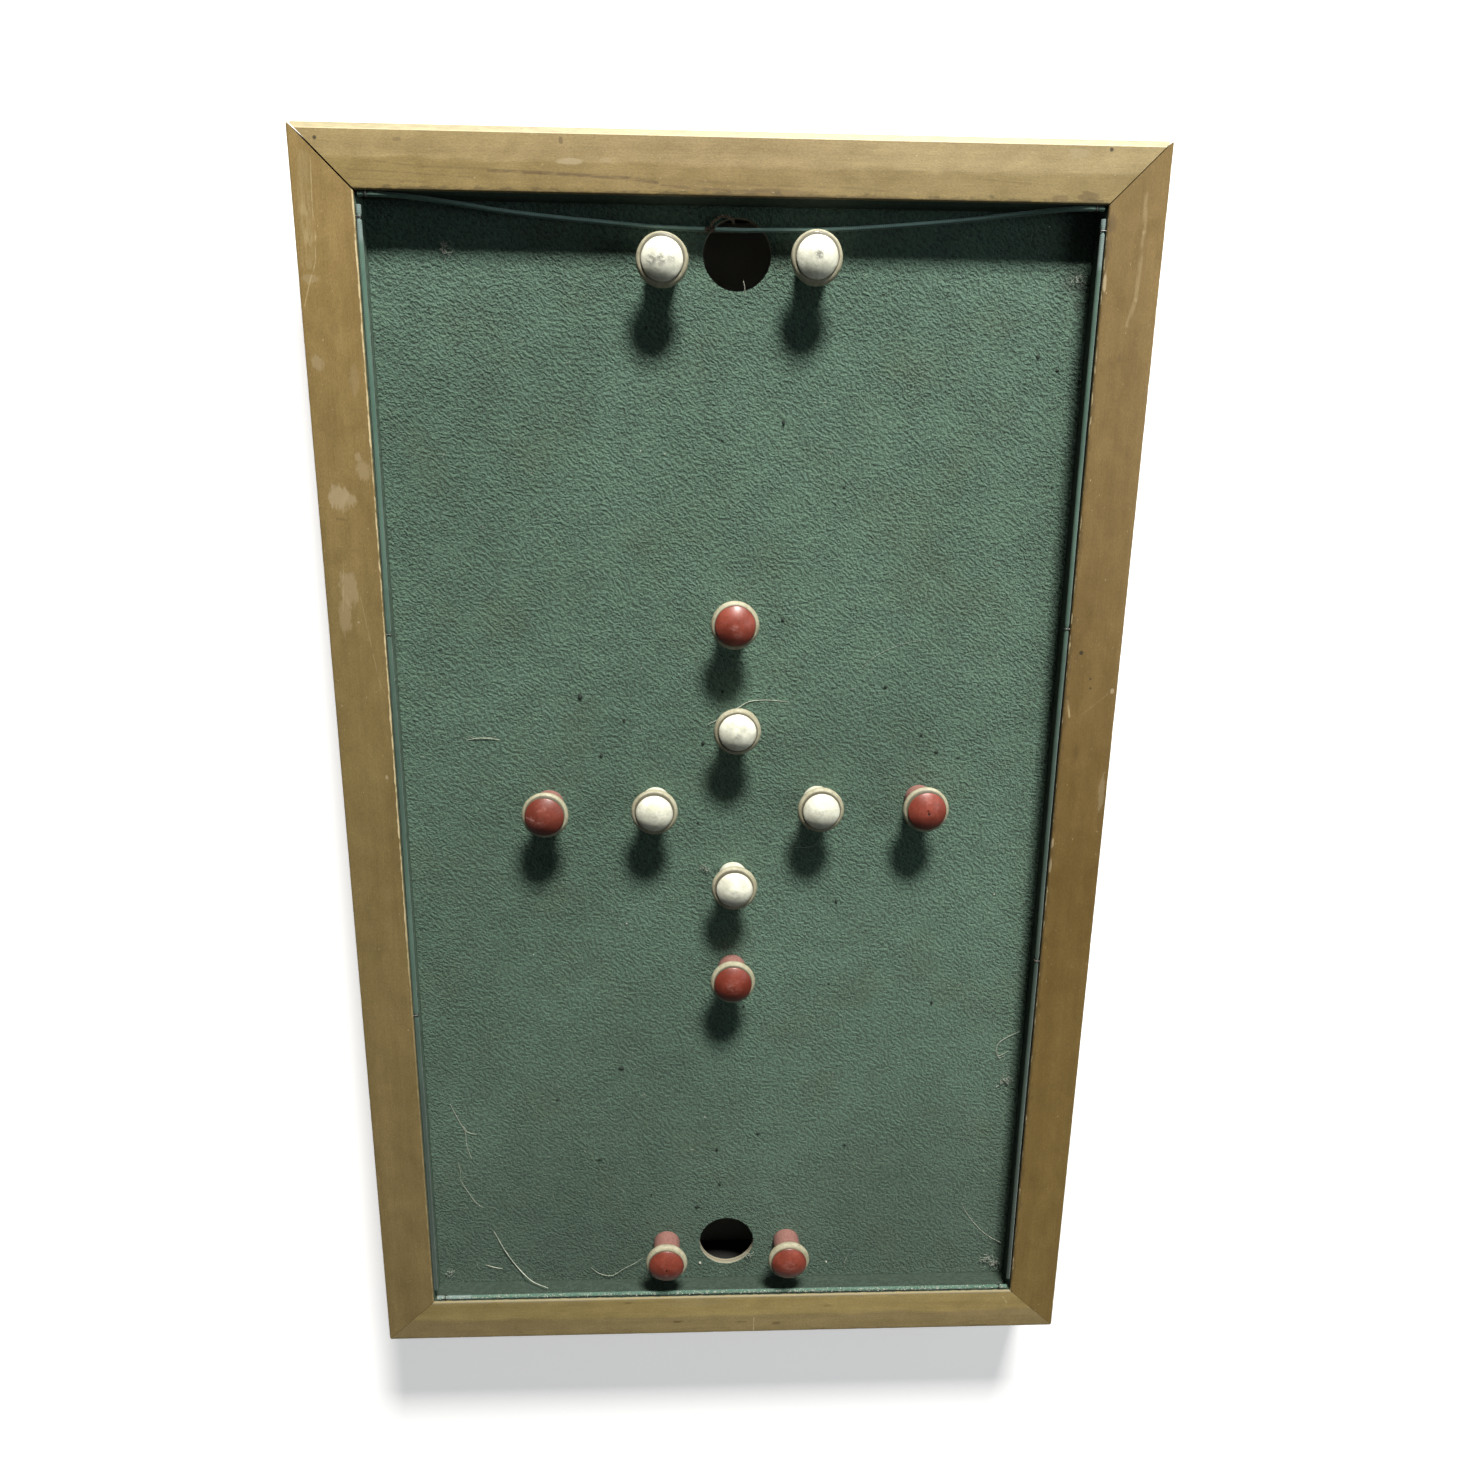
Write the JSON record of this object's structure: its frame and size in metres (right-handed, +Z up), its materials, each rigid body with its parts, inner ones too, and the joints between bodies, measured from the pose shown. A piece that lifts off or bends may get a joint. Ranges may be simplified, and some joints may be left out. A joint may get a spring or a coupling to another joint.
{
  "type": "bumper billiards board",
  "caption": "Tabletop bumper billiards board: mitred wood frame, cloth-covered bed with end pockets, turned pegs in rubber rings, and elastic cushion cords, slack at the top.",
  "frame": {"origin": "centre of the underside that the board lies on", "axes": "+Z up out of the playing surface, +Y along the board towards the white pegs' pocket, +X across it"},
  "size_m": [0.552, 0.9, 0.0756],
  "materials": {
    "rail_wood": "honey varnish on close-grained hardwood, worn pale along the inner edges",
    "plywood": "bare thin plywood",
    "cloth": "coarse green cloth glued flat, with lint and dust",
    "white_paint": "turned wood in white gloss paint, scuffed grey",
    "red_paint": "turned wood in red gloss paint, faded on the stem",
    "ring_rubber": "aged beige rubber, matte",
    "cord_sleeve": "elastic cord in a woven green sleeve",
    "staple_steel": "dull steel wire with a little rust",
    "screw_steel": "dull zinc plate"
  },
  "bodies": {
    "root": {"rail_left": "rail_wood", "rail_right": "rail_wood", "rail_top": "rail_wood", "rail_bottom": "rail_wood", "bed_panel": "plywood", "playing_cloth": "cloth", "peg_white_top_left": "white_paint", "ring_white_top_left": "ring_rubber", "screw_white_top_left": "screw_steel", "peg_white_top_right": "white_paint", "ring_white_top_right": "ring_rubber", "screw_white_top_right": "screw_steel", "peg_red_cross_top": "red_paint", "ring_red_cross_top": "ring_rubber", "screw_red_cross_top": "screw_steel", "peg_white_cross_top": "white_paint", "ring_white_cross_top": "ring_rubber", "screw_white_cross_top": "screw_steel", "peg_red_cross_left": "red_paint", "ring_red_cross_left": "ring_rubber", "screw_red_cross_left": "screw_steel", "peg_white_cross_left": "white_paint", "ring_white_cross_left": "ring_rubber", "screw_white_cross_left": "screw_steel", "peg_white_cross_right": "white_paint", "ring_white_cross_right": "ring_rubber", "screw_white_cross_right": "screw_steel", "peg_red_cross_right": "red_paint", "ring_red_cross_right": "ring_rubber", "screw_red_cross_right": "screw_steel", "peg_white_cross_bottom": "white_paint", "ring_white_cross_bottom": "ring_rubber", "screw_white_cross_bottom": "screw_steel", "peg_red_cross_bottom": "red_paint", "ring_red_cross_bottom": "ring_rubber", "screw_red_cross_bottom": "screw_steel", "peg_red_bottom_left": "red_paint", "ring_red_bottom_left": "ring_rubber", "screw_red_bottom_left": "screw_steel", "peg_red_bottom_right": "red_paint", "ring_red_bottom_right": "ring_rubber", "screw_red_bottom_right": "screw_steel", "cushion_cord_left": "cord_sleeve", "cushion_cord_right": "cord_sleeve", "cushion_cord_top": "cord_sleeve", "cushion_cord_bottom": "cord_sleeve", "staple_bottom_1": "staple_steel", "staple_bottom_2": "staple_steel", "staple_right_1": "staple_steel", "staple_right_2": "staple_steel", "staple_right_3": "staple_steel", "staple_top_1": "staple_steel", "staple_top_2": "staple_steel", "staple_left_1": "staple_steel", "staple_left_2": "staple_steel", "staple_left_3": "staple_steel", "glue_block_top_left": "rail_wood", "glue_block_top_right": "rail_wood", "glue_block_bottom_left": "rail_wood", "glue_block_bottom_right": "rail_wood"}
  },
  "joints": []
}
